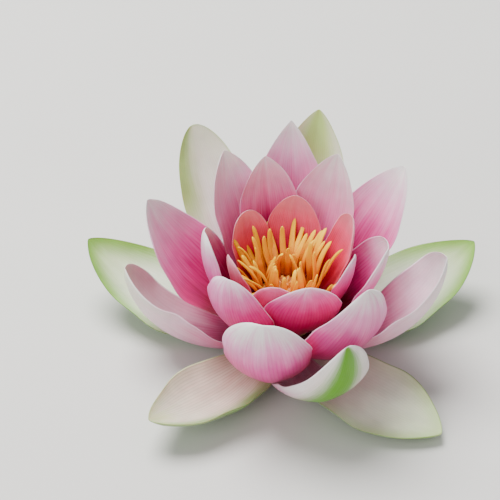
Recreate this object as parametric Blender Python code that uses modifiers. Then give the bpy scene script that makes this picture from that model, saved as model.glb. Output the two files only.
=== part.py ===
"""Water lily flower, cut just under the flower and resting on a surface.

Four sepals and seven whorls of petals stand on the side of a cup-shaped receptacle, each whorl higher
and steeper than the one outside it. The stamens stand on its rim, around the stigma disc.
Lengths are in metres, angles in degrees, +Z is up. Azimuth 0 points along +X and 90 along +Y.
"""
from math import cos, pi, radians, sin
from typing import NamedTuple

import bmesh
import bpy
import numpy as np
from mathutils import Vector

MM = 0.001
FLOWER_NAME = "water_lily_flower"

# Driving dimensions
PETAL_THICKNESS = 0.5 * MM
SEPAL_THICKNESS = 0.9 * MM
STAMEN_RADIUS = 0.9 * MM
MERGE_DISTANCE = 0.02 * MM
STAMEN_COLOUR = (0.85, 0.50, 0.08, 1)

CELLS_ACROSS = 4
CELLS_ALONG = 9
TURN_STEPS = 32


class Whorl(NamedTuple):
    """Where one whorl's petals leave the receptacle, and what they are made of."""
    radius: float
    height: float
    claw: float          # base width as a share of the full width
    thickness: float
    colour: tuple


class Petal(NamedTuple):
    """One sepal or petal: its place, its lean above the horizontal, and its size."""
    name: str
    whorl: str
    azimuth: float
    lean_base: float
    lean_tip: float
    length: float        # mm along the midrib
    width: float         # mm across the blade, along its arc
    cup: float = 38.0    # how far the margins turn up from the middle
    sweep: float = 0.0   # how far the midrib turns sideways from base to tip
    bend: float = 1.0    # above 1 the lean changes mostly near the tip
    tip: float = 0.8     # below 1 rounder, 1 and more pointed
    twist: float = 0.0   # how far the blade turns about its midrib
    widest: float = 0.52  # where the blade is widest, as a share of its length


WHORLS = {
    "sepal": Whorl(7.0, 4.8, 0.28, SEPAL_THICKNESS, (0.62, 0.70, 0.48, 1)),
    "first": Whorl(8.4, 7.5, 0.28, PETAL_THICKNESS, (0.80, 0.62, 0.66, 1)),
    "second": Whorl(9.1, 9.7, 0.28, PETAL_THICKNESS, (0.80, 0.52, 0.60, 1)),
    "third": Whorl(9.6, 12.0, 0.30, PETAL_THICKNESS, (0.78, 0.42, 0.54, 1)),
    "fourth": Whorl(9.8, 14.4, 0.32, PETAL_THICKNESS, (0.76, 0.34, 0.48, 1)),
    "fifth": Whorl(9.8, 16.6, 0.34, PETAL_THICKNESS, (0.74, 0.26, 0.40, 1)),
    "sixth": Whorl(9.6, 18.6, 0.38, PETAL_THICKNESS, (0.72, 0.20, 0.28, 1)),
    "seventh": Whorl(9.4, 20.2, 0.40, PETAL_THICKNESS, (0.72, 0.16, 0.22, 1)),
}

PETALS = (
    Petal("sepal_back_left", "sepal", 157, -14, 46, 65, 29, cup=26, twist=-8),
    Petal("sepal_back_right", "sepal", 25, -14, 42, 63, 30, cup=26, twist=8),
    Petal("sepal_front_right", "sepal", -49, -10, 8, 56, 30, cup=22, sweep=14),
    Petal("sepal_front_left", "sepal", -122, -12, 28, 56, 28, cup=55, sweep=-22),
    Petal("petal_1_back_left", "first", 122, 23, 66, 65, 24, cup=33.5, tip=0.55, twist=-8),
    Petal("petal_1_back_right", "first", 37, 38, 63, 57, 25, cup=28, sweep=-6, tip=0.75, twist=5, widest=0.54),
    Petal("petal_1_right", "first", -22, -4, 88, 61, 34, cup=62, sweep=35, tip=0.6, twist=-10, widest=0.57),
    Petal("petal_1_front", "first", -84, -19, 98, 65, 30, cup=46, sweep=48, tip=0.7, twist=-13, widest=0.58),
    Petal("petal_1_left", "first", 192, -24, 86, 56, 33, cup=63, sweep=-37, tip=0.65, twist=29, widest=0.53),
    Petal("petal_2_back", "second", 76, 40, 72, 62, 26),
    Petal("petal_2_left", "second", 161, 16, 78, 54, 30, sweep=2, tip=0.76, twist=-6, widest=0.44),
    Petal("petal_2_front_left", "second", -98, -8, 103, 60, 32, cup=60, sweep=-6, tip=0.42, twist=3, widest=0.64),
    Petal("petal_3_front_right", "third", -66, 5.5, 98, 63, 29, cup=58, sweep=26, tip=0.75, twist=-13, widest=0.6),
    Petal("petal_3_back", "third", 87, 50, 74, 56, 24, cup=36, tip=1),
    Petal("petal_3_right", "third", 0, 24, 85, 38, 31, cup=50, sweep=-13, tip=0.5, twist=2, widest=0.51),
    Petal("petal_3_left", "third", 178.5, 35, 99, 40, 23, cup=62.5, sweep=16, tip=0.54, twist=-6.5, widest=0.54),
    Petal("petal_4_front_left", "fourth", -128, 17, 104, 41, 25, cup=57, sweep=2, tip=0.5, twist=4, widest=0.53),
    Petal("petal_4_back_left", "fourth", 131, 56, 80, 50, 22, cup=40),
    Petal("petal_4_back_right", "fourth", 54, 56, 82, 48, 24, cup=40),
    Petal("petal_4_front_right", "fourth", -75, 38, 90, 35, 26, cup=43, sweep=-2, tip=0.7, twist=-7, widest=0.49),
    Petal("petal_5_back", "fifth", 105, 59, 82, 43, 21, cup=34),
    Petal("petal_5_front_left", "fifth", -100, 48, 88, 27, 17, tip=0.6),
    Petal("petal_5_right", "fifth", -20, 42, 90, 29, 18, cup=42, sweep=-1, tip=0.6, twist=-1),
    Petal("petal_6_back", "sixth", 80, 58, 88, 29, 18, cup=28, tip=0.6),
    Petal("petal_6_front_left", "sixth", -156, 50, 90, 26, 16, tip=0.6),
    Petal("petal_7_back_left", "seventh", 138, 56, 90, 26, 16, cup=27, sweep=-1, tip=0.45, twist=-2),
    Petal("petal_7_back_right", "seventh", 11, 48, 90, 31, 20, cup=34, tip=0.5),
)


class StamenRing(NamedTuple):
    """One ring of stamens: where it stands and how its stamens lean."""
    name: str
    radius: float        # mm from the axis at the foot
    height: float
    lean_base: float
    lean_tip: float
    length: float
    start: float         # azimuth of the first stamen


STAMENS_PER_RING = 14
OUTER_STAMENS = StamenRing("stamen_outer", 7.9, 22.8, 68, 55, 16.0, 4)
MIDDLE_STAMENS = StamenRing("stamen_middle", 7.3, 23.6, 77, 68, 14.5, 17)
INNER_STAMENS = StamenRing("stamen_inner", 5.6, 24.2, 80, 116, 10.5, 6)
STAMEN_POINTS = 6          # places along one stamen
RING_BODY_RADIUS = 0.55     # mm, the round ring that joins the inner stamens

# Half outline of the receptacle: radius and height in mm, down its outer side
RECEPTACLE_OUTLINE = (
    (0, 22.8), (3.5, 22.9), (5.6, 23.2), (7.2, 22.6), (8.4, 21.2), (9.0, 18.5), (9.0, 14.0),
    (8.7, 11.0), (8.0, 8.5), (6.6, 6.2), (5.0, 3.8), (3.8, 2.2), (3.6, 0), (0, 0),
)
# Half outline of the stigma disc with its middle knob
DISC_OUTLINE = (
    (0, 26.2), (1.1, 25.9), (1.6, 25.0), (3.2, 25.0), (4.1, 25.4), (4.3, 24.9), (3.9, 24.0), (0, 23.5),
)


def outline(along, petal, claw):
    """Half-width at a place along the midrib, as a share of the greatest half-width.

    It grows from the claw along a quarter sine, then closes towards a small blunt tip.
    """
    rise = claw + (1 - claw) * np.sin(np.clip(along / petal.widest, 0, 1) * pi / 2) ** 1.1
    past = np.clip((along - petal.widest) / (1 - petal.widest), 0, 1)
    fall = np.clip(1 - past ** 2, 0, 1) ** petal.tip
    return np.maximum(np.where(along < petal.widest, rise, fall), 0.05)


def midrib(petal, whorl, samples=121):
    """Points along the midrib with its lean and heading there, by adding up small steps."""
    share = np.linspace(0, 1, samples)
    lean = np.radians(petal.lean_base + (petal.lean_tip - petal.lean_base) * share ** petal.bend)
    heading = np.radians(petal.azimuth + petal.sweep * share)
    step = np.stack([np.cos(lean) * np.cos(heading), np.cos(lean) * np.sin(heading), np.sin(lean)], 1)
    middle = (step[1:] + step[:-1]) / 2 * petal.length * MM / (samples - 1)
    azimuth = radians(petal.azimuth)
    start = np.array([cos(azimuth) * whorl.radius, sin(azimuth) * whorl.radius, whorl.height]) * MM
    points = np.vstack([start, start + np.cumsum(middle, 0)])
    return share, points, lean, heading


def blade(petal, along, across):
    """Upper face of a petal: along runs 0..1 base to tip, across runs -1..1 margin to margin.

    Each cross-section is a circular arc about the midrib that turns its margins up by the cup angle.
    """
    whorl = WHORLS[petal.whorl]
    share, points, lean, heading = midrib(petal, whorl)
    spine = np.stack([np.interp(along, share, points[:, k]) for k in range(3)], -1)
    lean = np.interp(along, share, lean)
    heading = np.interp(along, share, heading)
    side = np.stack([-np.sin(heading), np.cos(heading), np.zeros_like(heading)], -1)
    up = np.stack([-np.sin(lean) * np.cos(heading), -np.sin(lean) * np.sin(heading), np.cos(lean)], -1)
    turn = np.radians(petal.twist * np.sin(np.clip(along / 0.6, 0, 1) * pi / 2))[..., None]
    side, up = side * np.cos(turn) + up * np.sin(turn), up * np.cos(turn) - side * np.sin(turn)
    half = petal.width * MM / 2 * outline(along, petal, whorl.claw)
    cup = np.radians(petal.cup * (0.55 + 0.45 * np.sin(pi * np.clip(along, 0, 1)) ** 0.7))
    sideways = (half * np.sin(cup * across) / cup)[..., None]
    upward = (half * (1 - np.cos(cup * across)) / cup)[..., None]
    return spine + sideways * side + upward * up


def material(name, colour, roughness):
    """Principled material with one colour; nothing on a flower is metal."""
    finish = bpy.data.materials.new(name)
    finish.use_nodes = True
    shader = finish.node_tree.nodes["Principled BSDF"]
    shader.inputs["Base Color"].default_value = colour
    shader.inputs["Roughness"].default_value = roughness
    shader.inputs["Metallic"].default_value = 0.0
    return finish


def add_object(name, data, collection, finish):
    """Put one named sub-part into the flower's collection with its material."""
    part = bpy.data.objects.new(name, data)
    data.materials.clear()
    data.materials.append(finish)
    collection.objects.link(part)
    return part


def build_petal(petal, collection):
    """A flat grid laid onto the blade surface and thickened away from the upper face."""
    whorl = WHORLS[petal.whorl]
    grid = bmesh.new()
    bmesh.ops.create_grid(grid, x_segments=CELLS_ACROSS, y_segments=CELLS_ALONG, size=1.0)
    flat = np.array([vertex.co for vertex in grid.verts])
    surface = blade(petal, (flat[:, 1] + 1) / 2, flat[:, 0])
    for vertex, point in zip(grid.verts, surface):
        vertex.co = point
    mesh = bpy.data.meshes.new(petal.name)
    grid.to_mesh(mesh)
    grid.free()
    mesh.shade_smooth()
    part = add_object(petal.name, mesh, collection, material(petal.name, whorl.colour, 0.5))
    thicken = part.modifiers.new("Thickness", "SOLIDIFY")
    thicken.thickness = whorl.thickness
    thicken.offset = 1.0
    thicken.use_even_offset = True


def build_turned(name, outline_mm, collection, colour):
    """A half outline turned about the vertical axis."""
    profile = bmesh.new()
    corners = [profile.verts.new((radius * MM, 0, height * MM)) for radius, height in outline_mm]
    for upper, lower in zip(corners, corners[1:]):
        profile.edges.new((upper, lower))
    mesh = bpy.data.meshes.new(name)
    profile.to_mesh(mesh)
    profile.free()
    part = add_object(name, mesh, collection, material(name, colour, 0.5))
    turn = part.modifiers.new("Turn", "SCREW")
    turn.steps = turn.render_steps = TURN_STEPS
    turn.use_merge_vertices = True
    turn.merge_threshold = MERGE_DISTANCE
    turn.use_smooth_shade = True


def stamen_spine(ring, index):
    """Points along one stamen's middle line; neighbours differ a little in length and lean."""
    azimuth = radians(ring.start + 360 * index / STAMENS_PER_RING)
    uneven = sin(2.4 * index + ring.radius)
    length = ring.length * (1 + 0.06 * uneven) * MM
    steeper = 4 * sin(azimuth) + 3 * uneven
    share = np.linspace(0, 1, STAMEN_POINTS)
    lean = np.radians(ring.lean_base + steeper + (ring.lean_tip - ring.lean_base) * share)
    step = np.stack([np.cos(lean) * cos(azimuth), np.cos(lean) * sin(azimuth), np.sin(lean)], 1)
    middle = (step[1:] + step[:-1]) / 2 * length / (STAMEN_POINTS - 1)
    start = np.array([cos(azimuth) * ring.radius, sin(azimuth) * ring.radius, ring.height]) * MM
    return np.vstack([start, start + np.cumsum(middle, 0)])


def stamen_curve(name, spines):
    """A curve with one tapering round spline for each stamen."""
    curve = bpy.data.curves.new(name, "CURVE")
    curve.dimensions = "3D"
    curve.bevel_depth = STAMEN_RADIUS
    curve.bevel_resolution = 1
    curve.use_fill_caps = True
    for points in spines:
        spline = curve.splines.new("POLY")
        spline.points.add(len(points) - 1)
        for place, (knot, point) in enumerate(zip(spline.points, points)):
            knot.co = (*point, 1)
            knot.radius = 1 - 0.35 * place / (len(points) - 1)
    return curve


def build_stamens(ring, collection):
    """The free stamens of one ring, each a part of its own."""
    finish = material(ring.name, STAMEN_COLOUR, 0.45)
    for index in range(STAMENS_PER_RING):
        name = f"{ring.name}_{index + 1:02d}"
        add_object(name, stamen_curve(name, [stamen_spine(ring, index)]), collection, finish)


def build_inner_stamens(ring, collection, helpers):
    """The crowded inner stamens, joined at their feet by a round ring."""
    spines = [stamen_spine(ring, index) for index in range(STAMENS_PER_RING)]
    source = bpy.data.objects.new("inner_stamen_curves", stamen_curve("inner_stamen_curves", spines))
    helpers.objects.link(source)
    evaluated = source.evaluated_get(bpy.context.evaluated_depsgraph_get())
    mesh = bpy.data.meshes.new_from_object(evaluated)
    bpy.data.objects.remove(source, do_unlink=True)
    welded = bmesh.new()
    welded.from_mesh(mesh)
    bmesh.ops.remove_doubles(welded, verts=welded.verts, dist=MERGE_DISTANCE)
    welded.to_mesh(mesh)
    welded.free()
    filaments = bpy.data.objects.new("inner_stamen_filaments", mesh)
    filaments.hide_render = True
    filaments.display_type = "WIRE"
    helpers.objects.link(filaments)

    bpy.ops.mesh.primitive_torus_add(
        major_radius=ring.radius * MM, minor_radius=RING_BODY_RADIUS * MM,
        major_segments=TURN_STEPS, minor_segments=8, location=(0, 0, ring.height * MM))
    part = bpy.context.object
    part.name = ring.name
    part.data.name = ring.name
    for owner in list(part.users_collection):
        owner.objects.unlink(part)
    collection.objects.link(part)
    part.data.materials.append(material(ring.name, STAMEN_COLOUR, 0.45))
    join = part.modifiers.new("Join", "BOOLEAN")
    join.operation = "UNION"
    join.solver = "EXACT"
    join.object = filaments


def stand_on_origin(collection, helpers):
    """Move the flower so that the bottom centre of its box is the origin."""
    depsgraph = bpy.context.evaluated_depsgraph_get()
    corners = []
    for part in collection.objects:
        evaluated = part.evaluated_get(depsgraph)
        mesh = evaluated.to_mesh()
        corners.extend(part.matrix_world @ vertex.co for vertex in mesh.vertices)
        evaluated.to_mesh_clear()
    corners = np.array(corners)
    low, high = corners.min(0), corners.max(0)
    shift = Vector(((low[0] + high[0]) / 2, (low[1] + high[1]) / 2, low[2]))
    for part in [*collection.objects, *helpers.objects]:
        part.location -= shift


def main():
    for old in list(bpy.data.objects):
        bpy.data.objects.remove(old, do_unlink=True)
    flower = bpy.data.collections.new(FLOWER_NAME)
    helpers = bpy.data.collections.new("helpers")
    bpy.context.scene.collection.children.link(flower)
    bpy.context.scene.collection.children.link(helpers)
    for petal in PETALS:
        build_petal(petal, flower)
    build_turned("receptacle", RECEPTACLE_OUTLINE, flower, (0.42, 0.50, 0.20, 1))
    build_turned("stigma_disc", DISC_OUTLINE, flower, (0.80, 0.36, 0.05, 1))
    build_stamens(OUTER_STAMENS, flower)
    build_stamens(MIDDLE_STAMENS, flower)
    build_inner_stamens(INNER_STAMENS, flower, helpers)
    bpy.context.view_layer.update()
    stand_on_origin(flower, helpers)


if __name__ == "__main__":
    main()
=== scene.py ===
"""Looks of a cut water lily flower: petals, sepals, stamens, stigma disc and receptacle.

Every blade and strap is a surface on a grid of two parameters, thickened to a closed shell.
Lengths are metres and angles degrees unless a name says otherwise; +Z is up.
"""
from functools import partial
from math import cos, pi, radians, sin
from typing import NamedTuple

import bpy
import numpy as np
from bpy.props import FloatProperty, FloatVectorProperty, IntProperty, PointerProperty
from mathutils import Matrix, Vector


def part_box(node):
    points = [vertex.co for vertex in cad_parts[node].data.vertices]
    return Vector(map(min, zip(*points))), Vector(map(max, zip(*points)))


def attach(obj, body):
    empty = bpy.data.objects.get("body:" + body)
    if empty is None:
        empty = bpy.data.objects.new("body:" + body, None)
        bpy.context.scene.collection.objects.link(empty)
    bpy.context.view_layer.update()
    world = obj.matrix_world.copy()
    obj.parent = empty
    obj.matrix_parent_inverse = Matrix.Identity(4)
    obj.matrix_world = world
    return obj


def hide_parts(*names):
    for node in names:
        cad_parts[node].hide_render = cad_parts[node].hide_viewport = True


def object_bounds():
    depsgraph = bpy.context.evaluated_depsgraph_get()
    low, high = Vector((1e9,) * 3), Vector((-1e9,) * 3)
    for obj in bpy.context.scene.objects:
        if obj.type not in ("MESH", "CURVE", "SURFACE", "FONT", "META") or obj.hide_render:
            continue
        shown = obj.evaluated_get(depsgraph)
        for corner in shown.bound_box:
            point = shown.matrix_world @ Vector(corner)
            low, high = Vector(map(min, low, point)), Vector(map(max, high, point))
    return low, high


bl_info = {
    "name": "Water lily flower",
    "version": (1, 0, 0),
    "blender": (4, 5, 0),
    "location": "View3D > Sidebar > Water lily",
    "description": "Grows the petals, sepals and stamens of a water lily flower",
    "category": "Add Mesh",
}

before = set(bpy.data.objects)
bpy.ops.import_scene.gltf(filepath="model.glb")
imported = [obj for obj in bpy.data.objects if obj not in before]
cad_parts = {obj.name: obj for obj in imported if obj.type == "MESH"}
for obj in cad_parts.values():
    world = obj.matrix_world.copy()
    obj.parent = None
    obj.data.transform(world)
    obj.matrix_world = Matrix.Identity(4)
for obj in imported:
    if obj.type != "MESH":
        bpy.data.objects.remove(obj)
CAD_LOW, CAD_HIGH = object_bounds()

MM = 0.001
FOOT_LOW, FOOT_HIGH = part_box("receptacle")
AXIS = np.array([(FOOT_LOW.x + FOOT_HIGH.x) / 2, (FOOT_LOW.y + FOOT_HIGH.y) / 2, FOOT_LOW.z])


def linear(hex_colour):
    """sRGB hex such as 8FBF3A to a linear RGBA tuple."""
    parts = [int(hex_colour[k:k + 2], 16) / 255 for k in (0, 2, 4)]
    return (*[c / 12.92 if c <= 0.04045 else ((c + 0.055) / 1.055) ** 2.4 for c in parts], 1.0)


# ---------------------------------------------------------------- the flower's plan

class Whorl(NamedTuple):
    """Where one whorl's blades leave the receptacle, and the shape of their bases."""
    radius: float         # mm
    height: float         # mm
    claw: float           # base width as a share of the full width


class Petal(NamedTuple):
    """One petal or sepal: its place, its lean above the horizontal, and its size."""
    name: str
    whorl: str
    azimuth: float
    lean_base: float
    lean_tip: float
    length: float         # mm along the midrib
    width: float          # mm across the blade, along its arc
    cup: float = 38.0     # how far the margins turn up from the middle
    sweep: float = 0.0    # how far the midrib turns sideways from base to tip
    tip: float = 0.8      # below 1 rounder, 1 and more pointed
    twist: float = 0.0    # how far the blade turns about its midrib
    widest: float = 0.52  # where the blade is widest, as a share of its length


WHORLS = {
    "sepal": Whorl(7.0, 4.8, 0.28),
    "first": Whorl(8.4, 7.5, 0.28),
    "second": Whorl(9.1, 9.7, 0.28),
    "third": Whorl(9.6, 12.0, 0.30),
    "fourth": Whorl(9.8, 14.4, 0.32),
    "fifth": Whorl(9.8, 16.6, 0.34),
    "sixth": Whorl(9.6, 18.6, 0.38),
    "seventh": Whorl(9.4, 20.2, 0.40),
}

PETALS = (
    Petal("sepal_back_left", "sepal", 157, -14, 46, 65, 29, cup=26, twist=-8),
    Petal("sepal_back_right", "sepal", 25, -14, 42, 63, 30, cup=26, twist=8),
    Petal("sepal_front_right", "sepal", -49, -10, 8, 56, 30, cup=22, sweep=14),
    Petal("sepal_front_left", "sepal", -122, -12, 28, 56, 28, cup=55, sweep=-22),
    Petal("petal_1_back_left", "first", 122, 23, 66, 65, 24, cup=33.5, tip=0.55, twist=-8),
    Petal("petal_1_back_right", "first", 37, 38, 63, 57, 25,
          cup=28, sweep=-6, tip=0.75, twist=5, widest=0.54),
    Petal("petal_1_right", "first", -22, -4, 88, 61, 34, cup=62, sweep=35, tip=0.6, twist=-10, widest=0.57),
    Petal("petal_1_front", "first", -84, -19, 98, 65, 30,
          cup=46, sweep=48, tip=0.7, twist=-13, widest=0.58),
    Petal("petal_1_left", "first", 192, -24, 86, 56, 33,
          cup=63, sweep=-37, tip=0.65, twist=29, widest=0.53),
    Petal("petal_2_back", "second", 76, 40, 72, 62, 26),
    Petal("petal_2_left", "second", 161, 16, 78, 54, 30, sweep=2, tip=0.76, twist=-6, widest=0.44),
    Petal("petal_2_front_left", "second", -98, -8, 103, 60, 32,
          cup=60, sweep=-6, tip=0.42, twist=3, widest=0.64),
    Petal("petal_3_front_right", "third", -66, 5.5, 98, 63, 29,
          cup=58, sweep=26, tip=0.75, twist=-13, widest=0.6),
    Petal("petal_3_back", "third", 87, 50, 74, 56, 24, cup=36, tip=1),
    Petal("petal_3_right", "third", 0, 24, 85, 38, 31, cup=50, sweep=-13, tip=0.5, twist=2, widest=0.51),
    Petal("petal_3_left", "third", 178.5, 35, 99, 40, 23,
          cup=62.5, sweep=16, tip=0.54, twist=-6.5, widest=0.54),
    Petal("petal_4_front_left", "fourth", -128, 17, 104, 41, 25,
          cup=57, sweep=2, tip=0.5, twist=4, widest=0.53),
    Petal("petal_4_back_left", "fourth", 131, 56, 80, 50, 22, cup=40),
    Petal("petal_4_back_right", "fourth", 54, 56, 82, 48, 24, cup=40),
    Petal("petal_4_front_right", "fourth", -75, 38, 90, 35, 26,
          cup=43, sweep=-2, tip=0.7, twist=-7, widest=0.49),
    Petal("petal_5_back", "fifth", 105, 59, 82, 43, 21, cup=34),
    Petal("petal_5_front_left", "fifth", -100, 48, 88, 27, 17, tip=0.6),
    Petal("petal_5_right", "fifth", -20, 42, 90, 29, 18, cup=42, sweep=-1, tip=0.6, twist=-1),
    Petal("petal_6_back", "sixth", 80, 58, 88, 29, 18, cup=28, tip=0.6),
    Petal("petal_6_front_left", "sixth", -156, 50, 90, 26, 16, tip=0.6),
    Petal("petal_7_back_left", "seventh", 138, 56, 90, 26, 16, cup=27, sweep=-1, tip=0.45, twist=-2),
    Petal("petal_7_back_right", "seventh", 11, 48, 90, 31, 20, cup=34, tip=0.5),
)


class StamenRing(NamedTuple):
    """One ring of stamens: where it stands and how its stamens lean."""
    name: str
    radius: float         # mm from the axis at the foot
    height: float         # mm
    lean_base: float
    lean_tip: float
    length: float         # mm
    start: float          # azimuth of the first stamen


STAMENS_PER_RING = 14
OUTER_STAMENS = StamenRing("stamen_outer", 7.9, 22.8, 68, 55, 16.0, 4)
MIDDLE_STAMENS = StamenRing("stamen_middle", 7.3, 23.6, 77, 68, 14.5, 17)
INNER_STAMENS = StamenRing("stamen_inner", 5.6, 24.2, 80, 116, 10.5, 6)
# Straps that crowd between those of the outer and the middle ring, a piece without a node of its own
BETWEEN_STAMENS = StamenRing("stamen_between", 7.7, 22.6, 60, 44, 16.5, 30)

# Half outline of the receptacle with its cut stub: radius and height in mm, down its outer side
RECEPTACLE_OUTLINE = (
    (0, 22.8), (3.5, 22.9), (5.6, 23.2), (7.2, 22.6), (8.4, 21.2), (9.0, 18.5), (9.0, 14.0),
    (8.7, 11.0), (8.0, 8.5), (6.6, 6.2), (5.0, 3.8), (3.8, 2.2), (3.6, 0),
)
# Half outline of the stigma disc with its middle knob
DISC_OUTLINE = (
    (0, 26.2), (1.1, 25.9), (1.6, 25.0), (3.2, 25.0), (4.1, 25.4), (4.3, 24.9), (3.9, 24.0), (0, 23.5),
)
DISC_RADIUS = 4.3 * MM
DISC_RIM_HEIGHT = 24.7 * MM   # the rays rise above this height only
STUB_TOP = 12 * MM            # the lengthwise ribs end here
RECEPTACLE_TOP = 22.8 * MM


# ---------------------------------------------------------------- colours

MARGIN_PULL = 0.03       # how far up the colour ramps the margins are moved
SKIN_ROUGHNESS = 0.42
STRANDS_ACROSS = 13.0    # streak cells from the middle to a margin
STRANDS_ALONG = 4.0      # streak cells from base to tip


class Look(NamedTuple):
    """Colours of one kind of blade, base to tip, on the inner and the outer face; the darkest base stops
    hold painted shade as well.
    """
    inner: tuple                # (place along the blade, hex) stops
    outer: tuple
    rim: str = "F3DDE2"         # the thin edge
    rim_width: float = 0.4      # mm
    rim_amount: float = 0.42
    streak: float = 0.16        # how far the veins carry the base colour towards the tip
    vein_dark: float = 0.03     # how much darker the veins are
    green: str = "A6C862"       # a flush on part of the blade
    green_inner: float = 0.0    # how strong it is on the inner face
    green_outer: float = 0.0
    green_from: float = 0.45    # where along the blade it begins
    green_middle: float = 0.0   # its middle line, from margin -1 to margin 1
    green_half: float = 0.22    # its half-width, on the same scale
    flush: str = "7FA552"       # a broad tint along both margins
    flush_width: float = 6.0    # mm
    flush_amount: float = 0.0


# The near-black stops at the base, most of all on the inner faces, here and in the looks below: partly the
# petals' own deep crimson base, partly painted shade deep in the cup of the flower.
PINK_INNER = (
    (0.0, "3C0008"), (0.28, "7E042E"), (0.45, "C01E6C"),
    (0.61, "DF5EA0"), (0.79, "EEAACC"), (1.0, "F6F1ED"))
PINK_OUTER = (
    (0.0, "6E0428"), (0.48, "B81468"), (0.69, "DC54A0"),
    (0.85, "EB9EC8"), (0.94, "F2DAE2"), (1.0, "F4F0EC"))
SEPAL_OUTER = ((0.0, "5E7F33"), (0.5, "62932E"), (1.0, "578A2C"))

LOOKS = {
    "sepal_back": Look(
        inner=((0.0, "D6D2BA"), (0.35, "DDE6CC"), (0.65, "E2EDD4"), (1.0, "BFD893")),
        outer=SEPAL_OUTER, rim="5C8C3A", rim_width=0.6, rim_amount=0.7, streak=0.10,
        flush="7DB03E", flush_width=8.5, flush_amount=0.92),
    "sepal_front_right": Look(
        inner=((0.0, "E8CDC4"), (0.3, "E8DCCC"), (0.6, "E4E6D2"), (1.0, "D2E2B2")),
        outer=SEPAL_OUTER, rim="7FA552", rim_width=0.6, rim_amount=0.7, streak=0.12,
        flush="B4D082", flush_width=7.0, flush_amount=0.6),
    "sepal_front_left": Look(
        inner=((0.0, "B08078"), (0.25, "C49C92"), (0.5, "D6BEB0"), (0.8, "DCD4C0"), (1.0, "C9D19C")),
        outer=SEPAL_OUTER, rim="B9C98C", rim_width=0.6, rim_amount=0.7, streak=0.24, vein_dark=0.14,
        flush="C9CFA4", flush_width=5.0, flush_amount=0.4, green="5E9A2A", green_inner=0.95,
        green_middle=1.0, green_half=0.75, green_from=0.08),
    "dusty_outermost": Look(
        inner=((0.0, "8A1446"), (0.25, "B8507C"), (0.42, "D493AC"), (0.62, "E2BFCB"), (1.0, "EAE2DC")),
        outer=((0.0, "B44A7C"), (0.35, "D284A8"), (0.6, "E2BBCB"), (1.0, "EAE6DC")),
        green_inner=0.35, green_outer=0.4, green_from=0.7, green_half=1.2),
    "pale_outermost": Look(
        inner=((0.0, "7E0A3C"), (0.26, "B83A72"), (0.42, "D88FB0"), (0.62, "E6C3D2"), (1.0, "EFE8E6")),
        outer=((0.0, "B4407A"), (0.35, "D680AA"), (0.6, "E6BCD0"), (1.0, "EFE8E6"))),
    "green_tipped": Look(
        inner=((0.0, "B03A6E"), (0.3, "D48CAC"), (0.5, "E8C8D4"), (0.68, "F0E8E4"), (1.0, "E2ECC4")),
        outer=((0.0, "C97A98"), (0.4, "E6D0D4"), (0.7, "EAE9D8"), (1.0, "CBDD93")),
        green="A9D052", green_inner=0.75, green_outer=0.9, green_from=0.46, green_half=1.1,
        rim="B7D47E", rim_width=1.0),
    "green_left": Look(
        inner=((0.0, "B03A6E"), (0.25, "D48CAC"), (0.42, "E8CCD6"), (0.6, "F0EAE4"), (1.0, "E6EED0")),
        outer=((0.0, "C97A98"), (0.4, "E6D0D4"), (0.7, "EAE9D8"), (1.0, "CBDD93")),
        green="9CC65C", green_inner=0.85, green_outer=0.9, green_from=0.36, green_half=0.95,
        green_middle=1.0, rim="A8CB6C", rim_width=1.0),
    "green_band": Look(
        # The inner face stays pale right down to its base: painted light that fills the shaded hollow at
        # the foot of this petal.
        inner=((0.0, "D8749E"), (0.2, "E6A4BE"), (0.4, "EECCD8"), (1.0, "F2EEE8")),
        outer=((0.0, "B83C74"), (0.32, "D070A0"), (0.52, "E6B4C8"), (0.7, "F0E2E2"), (1.0, "F2EEE8")),
        green="5FA014", green_outer=1.0, green_inner=0.3, green_from=0.16, green_half=0.8,
        green_middle=0.0),
    "pink": Look(inner=PINK_INNER, outer=PINK_OUTER),
    # A lighter copy of pink for the two back petals of the fourth whorl: partly their own paler tissue,
    # partly painted light that lifts them out of shade.
    "paler_pink_and_painted_light": Look(
        inner=(
            (0.0, "5A0016"), (0.26, "A81850"), (0.44, "D65690"),
            (0.62, "EA8EB8"), (0.82, "F2C6D8"), (1.0, "F7F3EF")),
        outer=PINK_OUTER),
    "deep_pink": Look(
        inner=(
            (0.0, "380006"), (0.34, "880630"), (0.52, "C82C6C"),
            (0.68, "E674A6"), (0.88, "F2B4CC"), (1.0, "F5E2E6")),
        outer=((0.0, "780426"), (0.44, "B80C60"), (0.70, "DC4498"), (0.89, "EC94C4"), (1.0, "F3DCE6"))),
    "magenta": Look(
        inner=((0.0, "560014"), (0.4, "A8083A"), (0.7, "D83074"), (1.0, "EE84AE")),
        outer=((0.0, "A50A45"), (0.4, "D42870"), (0.75, "E4528E"), (1.0, "EC86AC"))),
    "coral": Look(
        inner=((0.0, "5C0008"), (0.30, "A00624"), (0.50, "DC2E56"), (0.74, "F26086"), (1.0, "FBA2B4")),
        outer=((0.0, "A01038"), (0.4, "C8305A"), (0.75, "E06484"), (1.0, "EEA0B0")),
        rim="F4B8BC"),
}
# Filament colours from foot to tip: the dark orange-brown at the foot is partly the filament's own colour,
# partly painted shade where the feet crowd deep in the flower.
FILAMENT_STOPS = ((0.0, "A8440A"), (0.25, "E08400"), (0.5, "F6AA00"), (1.0, "FFCC10"))
LOOK_OF = {
    "sepal_back_left": "sepal_back", "sepal_back_right": "sepal_back",
    "sepal_front_right": "sepal_front_right", "sepal_front_left": "sepal_front_left",
    "petal_1_back_left": "green_left", "petal_2_back": "green_tipped", "petal_1_front": "green_band",
    "petal_1_left": "dusty_outermost", "petal_1_right": "pale_outermost",
    "petal_4_back_left": "paler_pink_and_painted_light", "petal_4_back_right": "paler_pink_and_painted_light", "petal_5_front_left": "magenta",
}
LOOK_OF_WHORL = {
    "first": "pink", "second": "pink", "third": "pink", "fourth": "deep_pink",
    "fifth": "deep_pink", "sixth": "coral", "seventh": "coral",
}


# ---------------------------------------------------------------- settings

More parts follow.
